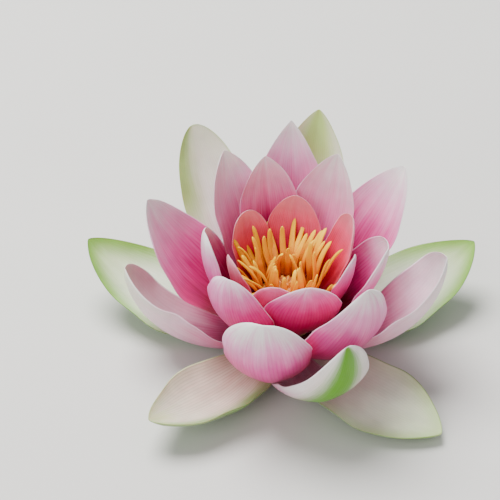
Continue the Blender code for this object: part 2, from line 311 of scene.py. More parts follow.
class BladeSettings(bpy.types.PropertyGroup):
    """Thickness and surface of the petals and sepals."""
    petal_thickness: FloatProperty(
        name="Petal thickness", description="Thickness of a petal at its middle",
        default=0.5 * MM, min=0.2 * MM, max=2 * MM, unit="LENGTH", precision=5)
    sepal_thickness: FloatProperty(
        name="Sepal thickness", description="Thickness of a sepal at its middle",
        default=0.9 * MM, min=0.2 * MM, max=3 * MM, unit="LENGTH", precision=5)
    ripple: FloatProperty(
        name="Margin ripple", description="How far the margins wave in and out of the blade",
        default=0.45 * MM, min=0, max=3 * MM, unit="LENGTH", precision=5)
    crease: FloatProperty(
        name="Midrib crease", description="Depth of the groove along the middle of the inner face",
        default=0.35 * MM, min=0, max=2 * MM, unit="LENGTH", precision=5)
    rows: IntProperty(
        name="Rows", description="Grid rows from base to tip", default=84, min=12, max=300)
    columns: IntProperty(
        name="Columns", description="Grid columns from margin to margin", default=36, min=8, max=120)


class StamenSettings(bpy.types.PropertyGroup):
    """Size of the stamens."""
    width: FloatProperty(
        name="Strap width", description="Width of a stamen at its middle",
        default=1.95 * MM, min=0.3 * MM, max=4 * MM, unit="LENGTH", precision=5)
    thickness: FloatProperty(
        name="Strap thickness", description="Thickness of a stamen at its middle",
        default=1.05 * MM, min=0.2 * MM, max=3 * MM, unit="LENGTH", precision=5)
    rows: IntProperty(name="Rows", description="Grid rows along a stamen", default=30, min=8, max=80)
    columns: IntProperty(
        name="Columns", description="Grid columns round a stamen", default=16, min=8, max=48)
    tip_colour: FloatVectorProperty(
        name="Tip colour", description="Colour of the anthers", subtype="COLOR",
        size=4, min=0, max=1, default=linear("FFCA00"))
    foot_colour_and_shade: FloatVectorProperty(
        name="Foot colour", description="Colour of the filaments at their feet", subtype="COLOR",
        size=4, min=0, max=1, default=linear("CC6208"))


class CentreSettings(bpy.types.PropertyGroup):
    """The stigma disc and the receptacle."""
    rays: IntProperty(
        name="Stigma rays", description="Number of rays on the stigma disc", default=14, min=4, max=40)
    ray_height: FloatProperty(
        name="Ray height", description="How far the rays stand above the disc",
        default=0.25 * MM, min=0, max=1 * MM, unit="LENGTH", precision=5)
    turn_steps: IntProperty(
        name="Turn steps", description="Steps round the axis", default=112, min=16, max=360)


class StageSettings(bpy.types.PropertyGroup):
    """Floor, light and camera."""
    floor_colour: FloatVectorProperty(
        name="Floor colour", description="Colour of the plain floor", subtype="COLOR",
        size=4, min=0, max=1, default=linear("DCDAD5"))
    floor_size: FloatProperty(
        name="Floor size", description="Side of the square floor",
        default=6.0, min=0.5, max=50, unit="LENGTH")
    sky_strength: FloatProperty(
        name="Sky strength", description="Strength of the even light from all round",
        default=0.52, min=0, max=5)
    key_power: FloatProperty(
        name="Key power", description="Power of the large soft lamp overhead",
        default=21.0, min=0, max=500, unit="POWER")
    lens: FloatProperty(
        name="Lens", description="Focal length of the camera in millimetres",
        default=180.0, min=20, max=400)
    camera_elevation: FloatProperty(
        name="Camera elevation", description="Height of the camera above the horizon",
        default=radians(40), min=0, max=pi / 2, subtype="ANGLE")
    camera_distance: FloatProperty(
        name="Camera distance", description="From the camera to the point it looks at",
        default=0.75, min=0.1, max=10, unit="LENGTH")


# ---------------------------------------------------------------- materials

def add_node(tree, kind, links=None, stops=(), output=0, **settings):
    """Add one node and hand back one of its outputs.

    links are values or outputs for its inputs, stops are (place, sRGB hex) pairs for a colour ramp, and
    settings are the node's own properties.
    """
    made = tree.nodes.new(kind)
    for key, value in settings.items():
        setattr(made, key, value)
    for socket, source in (links or {}).items():
        if isinstance(source, bpy.types.NodeSocket):
            tree.links.new(source, made.inputs[socket])
        else:
            made.inputs[socket].default_value = source
    for number, (place, hex_colour) in enumerate(stops):
        elements = made.color_ramp.elements
        stop = elements[number] if number < 2 else elements.new(place)
        stop.position, stop.color = place, linear(hex_colour)
    return made.outputs[output] if made.outputs else None


def make_finish(name, surface):
    """A material whose Principled shader gets the sockets and values of surface(add)."""
    finish = bpy.data.materials.new(name)
    finish.use_nodes = True
    tree = finish.node_tree
    tree.nodes.clear()
    add = partial(add_node, tree)
    shader = add("ShaderNodeBsdfPrincipled", surface(add))
    add("ShaderNodeOutputMaterial", {"Surface": shader})
    return finish


# Short names of the shader nodes that are used most
MATH = "ShaderNodeMath"
RANGE = "ShaderNodeMapRange"
NOISE = "ShaderNodeTexNoise"
RAMP = "ShaderNodeValToRGB"
VALUE = "ShaderNodeHueSaturation"
READ = "ShaderNodeAttribute"


def blend(add, factor, first, second):
    """Mix two colours: the first at factor 0, the second at 1."""
    return add("ShaderNodeMix", {"Factor": factor, 6: first, 7: second}, output=2, data_type="RGBA")


def petal_tissue(look, add):
    """Living petal tissue: water-filled cells under a satin skin, tinted from the base along the veins.

    The veins run lengthwise about 0.9 mm apart and carry the base colour towards the tip. The skin is
    slightly rough, with a soft sheen, and lets some light through.
    """
    along = add(READ, output="Fac", attribute_name="along")
    across = add(READ, output="Fac", attribute_name="across")
    sideways = add(READ, output="Fac", attribute_name="sideways_mm")
    outside = add(READ, output="Fac", attribute_name="outside")
    margin = add(READ, output="Fac", attribute_name="margin_mm")
    seed = add(READ, output="Fac", attribute_name="seed")

    # Streaks: noise drawn out lengthwise, one stretch about 0.9 mm wide and 12 mm long
    strands = add("ShaderNodeCombineXYZ", {
        0: add(MATH, {0: across, 1: STRANDS_ACROSS}, operation="MULTIPLY"),
        1: add(MATH, {0: along, 1: STRANDS_ALONG}, operation="MULTIPLY"), 2: seed})
    broad = add(NOISE, {"Vector": strands, "Scale": 0.45, "Detail": 2.0})
    fine = add(NOISE, {"Vector": strands, "Scale": 1.6, "Detail": 4.0, "Roughness": 0.6})
    veins = add("ShaderNodeTexWave", {
        "Vector": strands, "Scale": 0.34, "Distortion": 1.6, "Detail": 2.0, "Detail Scale": 1.2},
        output="Fac", wave_type="BANDS", bands_direction="X", wave_profile="SIN")
    centred = add(MATH, {0: fine, 1: 1.0, 2: -0.5}, operation="MULTIPLY_ADD")
    streak = add(MATH, {0: broad, 1: 1.2, 2: -0.6}, operation="MULTIPLY_ADD")
    streak = add(MATH, {0: streak, 1: centred}, operation="ADD")

    # Place on the colour ramps: along the blade, moved by the streaks and a little by the margins
    squared = add(MATH, {0: across, 1: across}, operation="MULTIPLY")
    place = add(MATH, {0: streak, 1: look.streak, 2: along}, operation="MULTIPLY_ADD")
    place = add(MATH, {0: squared, 1: MARGIN_PULL, 2: place}, operation="MULTIPLY_ADD", use_clamp=True)
    # The ramps' darkest stops at the base are partly painted shade in the cup.
    colour = blend(add, outside, add(RAMP, {0: place}, look.inner), add(RAMP, {0: place}, look.outer))

    if look.green_inner or look.green_outer:
        # A green flush from a place along the blade on, fading sideways from its own middle line
        off = add(MATH, {0: across, 1: look.green_middle}, operation="SUBTRACT")
        off = add(MATH, {0: off}, operation="ABSOLUTE")
        off = add(MATH, {0: centred, 1: 0.3, 2: off}, operation="MULTIPLY_ADD")
        near = add(RANGE, {0: off, 1: look.green_half, 2: look.green_half * 0.2, 3: 0.0, 4: 1.0},
                   interpolation_type="SMOOTHSTEP")
        up = add(RANGE, {0: along, 1: look.green_from, 2: look.green_from + 0.35, 3: 0.0, 4: 1.0},
                 interpolation_type="SMOOTHSTEP")
        side = add(RANGE, {0: outside, 1: 0.0, 2: 1.0, 3: look.green_inner, 4: look.green_outer})
        amount = add(MATH, {0: near, 1: up}, operation="MULTIPLY")
        amount = add(MATH, {0: amount, 1: side}, operation="MULTIPLY", use_clamp=True)
        colour = blend(add, amount, colour, linear(look.green))

    # A broad flush along both margins, then the thin rim where there are no coloured cells
    if look.flush_amount:
        reach = add(MATH, {0: centred, 1: 3.0, 2: margin}, operation="MULTIPLY_ADD")
        flush = add(RANGE, {0: reach, 1: 0.0, 2: look.flush_width, 3: look.flush_amount, 4: 0.0},
                    interpolation_type="SMOOTHSTEP")
        flush = add(MATH, {0: flush, 1: add(RANGE, {0: along, 1: 0.25, 2: 0.75, 3: 0.1, 4: 1.0})},
                    operation="MULTIPLY")
        colour = blend(add, flush, colour, linear(look.flush))
    rim = add(RANGE, {0: margin, 1: 0.0, 2: look.rim_width, 3: look.rim_amount, 4: 0.0},
              interpolation_type="SMOOTHSTEP")
    colour = blend(add, rim, colour, linear(look.rim))

    # Fine darker veins, and blotches of paler and duller tissue 3 to 6 mm across
    place_mm = add("ShaderNodeCombineXYZ", {
        0: sideways, 1: add(MATH, {0: along, 1: 40.0}, operation="MULTIPLY"), 2: seed})
    blotch = add(NOISE, {"Vector": place_mm, "Scale": 0.22, "Detail": 3.0})
    bright = add(RANGE, {0: blotch, 1: 0.3, 2: 0.7, 3: 0.93, 4: 1.06})
    vein_dark = add(RANGE, {0: veins, 1: 0.55, 2: 1.0, 3: 1.0, 4: 1 - look.vein_dark})
    bright = add(MATH, {0: bright, 1: vein_dark}, operation="MULTIPLY")
    richer = add(RANGE, {0: veins, 1: 0.55, 2: 1.0, 3: 1.0, 4: 1.06})
    colour = add(VALUE, {"Color": colour, "Value": bright, "Saturation": richer})

    # Relief: ribs over the veins, and the pebbled skin of cells about 0.25 mm across
    cells = add(NOISE, {"Vector": place_mm, "Scale": 4.0, "Detail": 2.0})
    relief = add(MATH, {0: veins, 1: 0.22, 2: add(MATH, {0: cells, 1: 0.12}, operation="MULTIPLY")},
                 operation="MULTIPLY_ADD")
    relief = add(MATH, {0: fine, 1: 0.9, 2: relief}, operation="MULTIPLY_ADD")
    return {
        "Base Color": colour,
        "Roughness": add(RANGE, {
            0: fine, 1: 0.2, 2: 0.8, 3: SKIN_ROUGHNESS - 0.08, 4: SKIN_ROUGHNESS + 0.12}),
        "Normal": add("ShaderNodeBump", {"Height": relief, "Strength": 0.45, "Distance": 0.12 * MM}),
        "IOR": 1.42, "Specular IOR Level": 0.4, "Sheen Weight": 0.08, "Sheen Roughness": 0.4,
        "Subsurface Weight": 0.25, "Subsurface Radius": (1.0, 0.45, 0.5), "Subsurface Scale": 1.2 * MM,
    }


def filament_tissue(settings, add):
    """Waxy filament dusted with pollen: orange foot darkened partly by painted shade, golden anther, grains
    large enough to show.
    """
    along = add(READ, output="Fac", attribute_name="along")
    seed = add(READ, output="Fac", attribute_name="seed")
    spot = add("ShaderNodeTexCoord", output="Object")
    grain = add(NOISE, {"Vector": spot, "Scale": 3500.0, "Detail": 2.0})
    patch = add(NOISE, {"Vector": spot, "Scale": 420.0, "Detail": 2.0})
    moved = add(MATH, {0: patch, 1: 0.4, 2: -0.2}, operation="MULTIPLY_ADD")
    place = add(MATH, {0: along, 1: moved}, operation="ADD", use_clamp=True)
    body = add(RAMP, {0: place}, FILAMENT_STOPS)
    # Darker orange towards the foot, partly painted shade among the crowded feet.
    foot = add(RANGE, {0: place, 1: 0.1, 2: 0.5, 3: 1.0, 4: 0.0})
    body = blend(add, foot, body, tuple(settings.foot_colour_and_shade))
    head = add(RANGE, {0: place, 1: 0.55, 2: 0.95, 3: 0.0, 4: 0.7})
    body = blend(add, head, body, tuple(settings.tip_colour))
    own = add(MATH, {0: seed, 1: 0.37}, operation="MULTIPLY")
    own = add(MATH, {0: own}, operation="FRACT")
    body = add(VALUE, {"Color": body, "Value": add(RANGE, {0: own, 1: 0.0, 2: 1.0, 3: 0.88, 4: 1.1})})
    dust = add(RANGE, {0: grain, 1: 0.55, 2: 0.75, 3: 0.0, 4: 0.22})
    return {
        "Base Color": blend(add, dust, body, linear("FFE050")),
        "Roughness": add(RANGE, {0: grain, 1: 0.3, 2: 0.7, 3: 0.38, 4: 0.6}),
        "Normal": add("ShaderNodeBump", {"Height": grain, "Strength": 0.4, "Distance": 0.08 * MM}),
        "IOR": 1.43,
        "Subsurface Weight": 0.2, "Subsurface Radius": (1.0, 0.6, 0.15), "Subsurface Scale": 0.8 * MM,
    }


def stigma_tissue(add):
    """Moist stigma tissue: orange-yellow with a wet shine, darker in the grooves between the rays and
    lighter on their crests, as painted shade and painted light.
    """
    spot = add("ShaderNodeTexCoord", output="Object")
    grain = add(NOISE, {"Vector": spot, "Scale": 2200.0, "Detail": 3.0})
    ray = add(READ, output="Fac", attribute_name="ray")
    return {
        # Painted shade and light: the ramp darkens the grooves between the raised rays and lightens their
        # crests.
        "Base Color": add(VALUE, {
            "Color": add(RAMP, {0: ray}, ((0.0, "A8480F"), (0.5, "D98420"), (1.0, "F2B23A"))),
            "Value": add(RANGE, {0: grain, 1: 0.3, 2: 0.7, 3: 0.85, 4: 1.1})}),
        "Roughness": add(RANGE, {0: grain, 1: 0.3, 2: 0.7, 3: 0.25, 4: 0.45}),
        "Normal": add("ShaderNodeBump", {"Height": grain, "Strength": 0.4, "Distance": 0.1 * MM}),
        "Subsurface Weight": 0.2, "Subsurface Radius": (1.0, 0.5, 0.2), "Subsurface Scale": 1.0 * MM,
    }


def stalk_flesh(add):
    """Fleshy green stalk and ovary: reddish green skin with fine lengthwise ribs, pale spongy cut face."""
    spot = add("ShaderNodeTexCoord", output="Object")
    height = add(READ, output="Fac", attribute_name="height")
    cut = add(READ, output="Fac", attribute_name="cut")
    blotch = add(NOISE, {"Vector": spot, "Scale": 260.0, "Detail": 4.0})
    fine = add(NOISE, {"Vector": spot, "Scale": 2600.0, "Detail": 3.0})
    moved = add(MATH, {0: blotch, 1: 0.35, 2: -0.175}, operation="MULTIPLY_ADD")
    place = add(MATH, {0: height, 1: moved}, operation="ADD", use_clamp=True)
    skin = add(RAMP, {0: place}, (
        (0.0, "6F7A38"), (0.25, "7F8F45"), (0.5, "A9A766"), (0.8, "C98A6A"), (1.0, "C97A2C")))
    skin = blend(add, cut, skin, linear("DDDCB4"))
    return {
        "Base Color": add(VALUE, {
            "Color": skin, "Value": add(RANGE, {0: fine, 1: 0.3, 2: 0.7, 3: 0.9, 4: 1.08})}),
        "Roughness": add(RANGE, {0: blotch, 1: 0.3, 2: 0.7, 3: 0.35, 4: 0.55}),
        "Normal": add("ShaderNodeBump", {"Height": fine, "Strength": 0.5, "Distance": 0.1 * MM}),
        "Subsurface Weight": 0.15, "Subsurface Radius": (0.6, 1.0, 0.3), "Subsurface Scale": 1.0 * MM,
    }


def matt_paint(settings, add):
    """Matt emulsion paint on a smooth board: even, with faint clouds about 70 mm across."""
    spot = add("ShaderNodeTexCoord", output="Object")
    cloud = add(NOISE, {"Vector": spot, "Scale": 14.0, "Detail": 3.0})
    return {
        "Base Color": add(VALUE, {
            "Color": tuple(settings.floor_colour),
            "Value": add(RANGE, {0: cloud, 1: 0.3, 2: 0.7, 3: 0.985, 4: 1.015})}),
        "Roughness": 0.9,
    }


# ---------------------------------------------------------------- shapes

RISE_POWER = 1.1         # how slowly a blade widens out of its claw
CUP_AT_ENDS = 0.55       # share of the cup at base and tip
TWIST_REACH = 0.6        # the twist is full from this place along the blade on
MARGIN_WAVER = 0.018     # how much the half-width wavers, as a share
EVEN_ROWS = 0.45         # share of even spacing; the rest crowds the rows at base and tip
EVEN_COLUMNS = 0.55      # share of even spacing; the rest crowds the columns at the margins
CREASE_WIDTH = 0.16      # half-width of the midrib groove, as a share of the blade's
CREASE_DEPTH = 0.8       # its depth, as a share of the setting
FOOT_THICKENING = 0.9    # how much thicker the base is than the rest
TIP_TAPER = 0.06         # share of the length over which the tip thins out

STAMEN_UNEVEN = 0.10     # how far the lengths of stamens differ, as a share
STAMEN_STRETCH = 1.06
BACK_STEEPER = 4         # degrees, how much steeper the stamens at the back stand
UNEVEN_LEAN = 3          # degrees
CURL, TIP_CURL = 13, 18  # degrees, in and out
SWAY, TIP_SWAY = 16, 24  # degrees, sideways
ROLL, TIP_ROLL = 18, 25  # degrees, about the middle line
ROUND_TIP = 0.10         # share of the length over which the tip rounds off
FURROW_DEPTH = 0.20      # as a share of the thickness
FURROW_FROM = 0.25       # where along the stamen the furrows begin
USUAL_WIDTH = 26.0       # mm, the blade width that the ripple setting is meant for


def outline(along, petal, claw):
    """Half-width as a share of the greatest.

    A quarter sine out of the claw to the widest place, then (1 - x^2)^tip to a point.
    """
    rise = claw + (1 - claw) * np.sin(np.clip(along / petal.widest, 0, 1) * pi / 2) ** RISE_POWER
    past = np.clip((along - petal.widest) / (1 - petal.widest), 0, 1)
    return np.where(along < petal.widest, rise, np.clip(1 - past ** 2, 0, 1) ** petal.tip)


def midrib(petal, whorl, samples=241):
    """Points along the midrib, by adding up small steps whose lean runs from base to tip lean."""
    share = np.linspace(0, 1, samples)
    lean = np.radians(petal.lean_base + (petal.lean_tip - petal.lean_base) * share)
    heading = np.radians(petal.azimuth + petal.sweep * share)
    step = np.stack([np.cos(lean) * np.cos(heading), np.cos(lean) * np.sin(heading), np.sin(lean)], 1)
    middle = (step[1:] + step[:-1]) / 2 * petal.length * MM / (samples - 1)
    azimuth = radians(petal.azimuth)
    start = np.array([cos(azimuth) * whorl.radius, sin(azimuth) * whorl.radius, whorl.height]) * MM
    return share, np.vstack([start, start + np.cumsum(middle, 0)]), lean, heading


def blade(petal, along, across, seed):
    """Inner face of a blade at along 0..1 and across -1..1.

    Each cross-section is a circular arc on the midrib, turned up by the cup angle and rolled by the twist.
    Its half-width is the outline times one plus a small sine, so that the two margins differ a little.
    """
    whorl = WHORLS[petal.whorl]
    share, points, lean, heading = midrib(petal, whorl)
    spine = np.stack([np.interp(along, share, points[:, k]) for k in range(3)], -1)
    lean = np.interp(along, share, lean)
    heading = np.interp(along, share, heading)
    side = np.stack([-np.sin(heading), np.cos(heading), np.zeros_like(heading)], -1)
    up = np.stack([-np.sin(lean) * np.cos(heading), -np.sin(lean) * np.sin(heading), np.cos(lean)], -1)
    turn = np.radians(petal.twist * np.sin(np.clip(along / TWIST_REACH, 0, 1) * pi / 2))[..., None]
    side, up = side * np.cos(turn) + up * np.sin(turn), up * np.cos(turn) - side * np.sin(turn)
    half = petal.width * MM / 2 * outline(along, petal, whorl.claw)
    half = half * (1 + MARGIN_WAVER * np.sin(2 * pi * (2.3 * along + 0.31 * seed) + across))
    cup_share = CUP_AT_ENDS + (1 - CUP_AT_ENDS) * np.sin(pi * np.clip(along, 0, 1)) ** 0.7
    cup = np.radians(petal.cup * cup_share)
    sideways = (half * np.sin(cup * across) / cup)[..., None]
    upward = (half * (1 - np.cos(cup * across)) / cup)[..., None]
    return spine + sideways * side + upward * up, half


def inner_normals(surface):
    """Unit normals of a grid surface on its inner side, from the cross product of its two tangents."""
    down = np.gradient(surface, axis=0)
    over = np.gradient(surface, axis=1)
    normal = np.cross(down, over)
    size = np.linalg.norm(normal, axis=-1, keepdims=True)
    normal = normal / np.maximum(size, 1e-15)
    normal[-1] = normal[-2].mean(0)
    return normal / np.maximum(np.linalg.norm(normal, axis=-1, keepdims=True), 1e-15)


def mesh_object(name, points, faces, attributes, finish, node):
    """Make a smooth mesh piece that rides on the root body and stands for a CAD node, if one is named."""
    mesh = bpy.data.meshes.new(name)
    mesh.from_pydata((points + AXIS).tolist(), [], faces)
    for key, values in attributes.items():
        mesh.attributes.new(key, "FLOAT", "POINT").data.foreach_set(
            "value", np.ascontiguousarray(values, np.float32).ravel())
    mesh.materials.append(finish)
    mesh.shade_smooth()
    if mesh.validate():
        raise RuntimeError(f"{name} has bad faces")
    mesh.update()
    piece = bpy.data.objects.new(name, mesh)
    bpy.context.scene.collection.objects.link(piece)
    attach(piece, "root")
    if node:
        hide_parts(node)
    return piece


def outward(points, faces):
    """Turn all the faces of a closed shell round if its signed volume is negative."""
    triangles = np.array([(f[0], f[k], f[k + 1]) for f in faces for k in range(1, len(f) - 1)])
    a, b, c = (points[triangles[:, k]] for k in range(3))
    if np.einsum("ij,ij->i", a, np.cross(b, c)).sum() < 0:
        return [tuple(reversed(f)) for f in faces]
    return faces


def tube_faces(rings, columns, first_pole=None, last_pole=None):
    """Quads between closed rings of points, with a fan to a pole at either end."""
    start = np.arange(rings - 1)[:, None] * columns
    k = np.arange(columns)
    ahead = (k + 1) % columns
    quads = np.stack([start + k, start + ahead, start + columns + ahead, start + columns + k], -1)
    faces = [tuple(f) for f in quads.reshape(-1, 4).tolist()]
    last = (rings - 1) * columns
    if last_pole is not None:
        faces += [(last + int(a), last + int(b), last_pole) for a, b in zip(k, ahead)]
    if first_pole is not None:
        faces += [(int(b), int(a), first_pole) for a, b in zip(k, ahead)]
    return faces


def build_blade(petal, number, settings, finish):
    """One petal or sepal as a closed shell.

    Inner face: the blade surface plus a ripple that grows with the cube of the distance from the midrib,
    less a crease that is a narrow bell curve about the midrib. Outer face: the inner one moved along its
    normal by the thickness times sqrt(1 - across^4), so that both meet in a rounded rim.
    """
    whorl = WHORLS[petal.whorl]
    is_sepal = petal.whorl == "sepal"
    thickness = settings.sepal_thickness if is_sepal else settings.petal_thickness
    rows, columns = settings.rows, settings.columns
    even = np.linspace(0, 1, rows)
    places = EVEN_ROWS * even + (1 - EVEN_ROWS) * (1 - np.cos(pi * even)) / 2
    spread = np.linspace(-1, 1, columns + 1)
    spread = EVEN_COLUMNS * spread + (1 - EVEN_COLUMNS) * np.sin(pi / 2 * spread)
    along, across = np.meshgrid(places, spread, indexing="ij")
    surface, half = blade(petal, along, across, number)
    normal = inner_normals(surface)
    size = petal.width / USUAL_WIDTH
    wave = (np.sin(2 * pi * (1.7 * along + 0.37 * number) + 1.1 * np.sign(across))
            + 0.5 * np.sin(2 * pi * (3.9 * along + 0.61 * number) - 0.8 * np.sign(across)))
    ripple = settings.ripple * size * np.abs(across) ** 3 * wave * np.sin(pi * along) ** 0.8
    bell = np.exp(-(across / CREASE_WIDTH) ** 2) * np.sin(pi * np.clip(along, 0, 1)) ** 0.5
    surface = surface + normal * (ripple - settings.crease * bell * CREASE_DEPTH)[..., None]
    normal = inner_normals(surface)
    thick = thickness * np.sqrt(np.clip(1 - across ** 4, 0, 1))
    thick = thick * (1 + FOOT_THICKENING * (1 - along) ** 3)
    thick = thick * np.clip((1 - along) / TIP_TAPER, 0.12, 1) ** 0.5
    outer = surface - normal * thick[..., None]

    def loop(inner_values, outer_values):
        """Go across the inner face and back across the outer one."""
        return np.concatenate([inner_values, outer_values[:, -2:0:-1]], axis=1)

    ring = loop(surface, outer)[:-1]
    along_ring = loop(along, along)[:-1]
    across_ring = loop(across, across)[:-1]
    outside = loop(np.zeros_like(along), np.ones_like(along))[:-1]
    outside[:, [0, columns]] = 0.5
    half_ring = loop(half, half)[:-1]
    tip = surface[-1].mean(0)
    count = ring.shape[1]
    points = np.vstack([ring.reshape(-1, 3), tip])
    faces = tube_faces(rows - 1, count, last_pole=len(points) - 1)
    back = [0] + [count - k for k in range(1, columns)] + [columns]
    for k in range(columns):
        corners = (k + 1, k, back[k], back[k + 1])
        faces.append(tuple(dict.fromkeys(corners)))
    faces = outward(points, faces)

    to_side = (1 - np.abs(across_ring)) * half_ring / MM
    to_tip = (1 - along_ring) * petal.length * 0.8
    margin = np.minimum(to_side, to_tip)
    flat = {
        "along": np.append(along_ring.ravel(), 1),
        "across": np.append(across_ring.ravel(), 0),
        "outside": np.append(outside.ravel(), 0.5),
        "margin_mm": np.append(margin.ravel(), 0),
        "sideways_mm": np.append((across_ring * half_ring / MM).ravel(), 0),
        "seed": np.full(len(points), 3.7 * number),
    }
    mesh_object(f"{petal.name}_blade", points, faces, flat, finish, petal.name)


def stamen_line(ring, index, rows):
    """Middle line of one stamen, its width direction, and its share of length at each row."""
    azimuth = radians(ring.start + 360 * index / STAMENS_PER_RING)
    uneven = sin(2.4 * index + ring.radius)
    length = ring.length * (STAMEN_STRETCH + STAMEN_UNEVEN * uneven) * MM
    steeper = BACK_STEEPER * sin(azimuth) + UNEVEN_LEAN * uneven
    share = np.linspace(0, 1, rows)
    curl = CURL * np.sin(pi * share * 1.3 + 0.9 * index)
    curl = curl + TIP_CURL * sin(4.3 * index + ring.length) * share ** 2
    lean = np.radians(ring.lean_base + steeper + (ring.lean_tip - ring.lean_base) * share + curl)
    sway = radians(SWAY) * np.sin(pi * share + 1.9 * index)
    sway = sway + radians(TIP_SWAY * sin(5.1 * index + ring.radius)) * share
    heading = azimuth + sway
    step = np.stack([np.cos(lean) * np.cos(heading), np.cos(lean) * np.sin(heading), np.sin(lean)], 1)
    middle = (step[1:] + step[:-1]) / 2 * length / (rows - 1)
    start = np.array([cos(azimuth) * ring.radius, sin(azimuth) * ring.radius, ring.height]) * MM
    points = np.vstack([start, start + np.cumsum(middle, 0)])
    side = np.stack([-np.sin(heading), np.cos(heading), np.zeros(rows)], 1)
    up = np.cross(step, side)
    roll = radians(ROLL) * np.sin(2.7 * index + ring.length)
    roll = (roll + radians(TIP_ROLL) * np.sin(3.3 * index) * share)[:, None]
    side, up = side * np.cos(roll) + up * np.sin(roll), up * np.cos(roll) - side * np.sin(roll)
    return points, side, up, share


def stamen_shell(ring, index, settings):
    """One strap-like stamen: a flattened ellipse carried along the middle line.

    The ellipse narrows towards foot and tip, and two long furrows between the pollen sacs sink into it
    as a cosine of twice the angle round the strap, on the upper two thirds.
    """
    rows, columns = settings.rows, settings.columns
    line, side, up, share = stamen_line(ring, index, rows)
    stout = 1 + 0.12 * sin(1.7 * index + ring.radius)
    round_tip = np.clip((1 - share) / ROUND_TIP, 0.0, 1) ** 0.5
    widen = (0.74 + 0.26 * np.sin(pi * np.clip(share * 1.15, 0, 1))) * round_tip
    width = settings.width * stout * widen / 2
    deep = settings.thickness * (0.8 + 0.2 * (1 - share)) * round_tip / 2
    angle = 2 * pi * np.arange(columns) / columns
    furrow = FURROW_DEPTH * np.clip((share - FURROW_FROM) / 0.2, 0, 1)[:, None]
    furrow = 1 - furrow * np.cos(angle * 2 + pi)[None, :].clip(0, 1)
    x = width[:, None] * np.cos(angle)[None, :]
    y = deep[:, None] * np.sin(angle)[None, :] * furrow
    shell = line[:, None, :] + x[..., None] * side[:, None, :] + y[..., None] * up[:, None, :]
    return shell[:-1], line[0], line[-1], share[:-1]


def stamen_mesh(ring, indices, settings):
    """Points, faces and attributes of one or more stamens together."""
    points, faces, along, seed = [], [], [], []
    for index in indices:
        shell, foot, tip, share = stamen_shell(ring, index, settings)
        rings, columns = shell.shape[:2]
        own = np.vstack([shell.reshape(-1, 3), tip, foot])
        new = outward(own, tube_faces(rings, columns, first_pole=len(own) - 1, last_pole=len(own) - 2))
        base = sum(len(p) for p in points)
        points.append(own)
        faces += [tuple(base + corner for corner in face) for face in new]
        along.append(np.concatenate([np.repeat(share, columns), [1, 0]]))
        seed.append(np.full(len(own), 1.0 + index + ring.radius))
    return np.vstack(points), faces, {"along": np.concatenate(along), "seed": np.concatenate(seed)}


def smooth_profile(corners, samples):
    """An even Catmull-Rom curve through the corners of a half outline."""
    known = np.array(corners, float)
    padded = np.vstack([2 * known[0] - known[1], known, 2 * known[-1] - known[-2]])
    steps = np.linspace(0, len(known) - 1, samples)
    cell = np.minimum(steps.astype(int), len(known) - 2)
    u = (steps - cell)[:, None]
    a, b, c, d = padded[cell], padded[cell + 1], padded[cell + 2], padded[cell + 3]
    curve = 2 * b + (c - a) * u + (2 * a - 5 * b + 4 * c - d) * u ** 2 + (3 * b - a - 3 * c + d) * u ** 3
    curve = 0.5 * curve
    curve[:, 0] = np.maximum(curve[:, 0], 0)
    return curve * MM


# ---------------------------------------------------------------- operators

class FLOWER_OT_blades(bpy.types.Operator):
    """Grow the sepals and petals"""
    bl_idname = "water_lily.blades"
    bl_label = "Petals and sepals"

    def execute(self, context):
        settings = context.scene.lily_blades
        finishes = {
            key: make_finish(f"petal_tissue_{key}", partial(petal_tissue, look))
            for key, look in LOOKS.items()}
        for number, petal in enumerate(PETALS):
            look = LOOK_OF.get(petal.name) or LOOK_OF_WHORL[petal.whorl]
            build_blade(petal, number, settings, finishes[look])
        return {"FINISHED"}


class FLOWER_OT_stamens(bpy.types.Operator):
    """Grow the rings of stamens"""
    bl_idname = "water_lily.stamens"
    bl_label = "Stamens"

    def execute(self, context):
        settings = context.scene.lily_stamens
        finish = make_finish("pollen_dusted_filament", partial(filament_tissue, settings))
        for ring in (OUTER_STAMENS, MIDDLE_STAMENS):
            for index in range(STAMENS_PER_RING):
                node = f"{ring.name}_{index + 1:02d}"
                points, faces, values = stamen_mesh(ring, [index], settings)
                mesh_object(f"{node}_strap", points, faces, values, finish, node)
        points, faces, values = stamen_mesh(INNER_STAMENS, range(STAMENS_PER_RING), settings)
        mesh_object("stamen_inner_straps", points, faces, values, finish, "stamen_inner")
        points, faces, values = stamen_mesh(BETWEEN_STAMENS, range(STAMENS_PER_RING), settings)
        mesh_object("stamen_between_straps", points, faces, values, finish, None)
        return {"FINISHED"}


class FLOWER_OT_centre(bpy.types.Operator):
    """Make the stigma disc and the receptacle with its cut stub"""
    bl_idname = "water_lily.centre"
    bl_label = "Stigma and receptacle"

    def execute(self, context):
        settings = context.scene.lily_centre
        build_disc(settings)
        build_receptacle(settings)
        return {"FINISHED"}


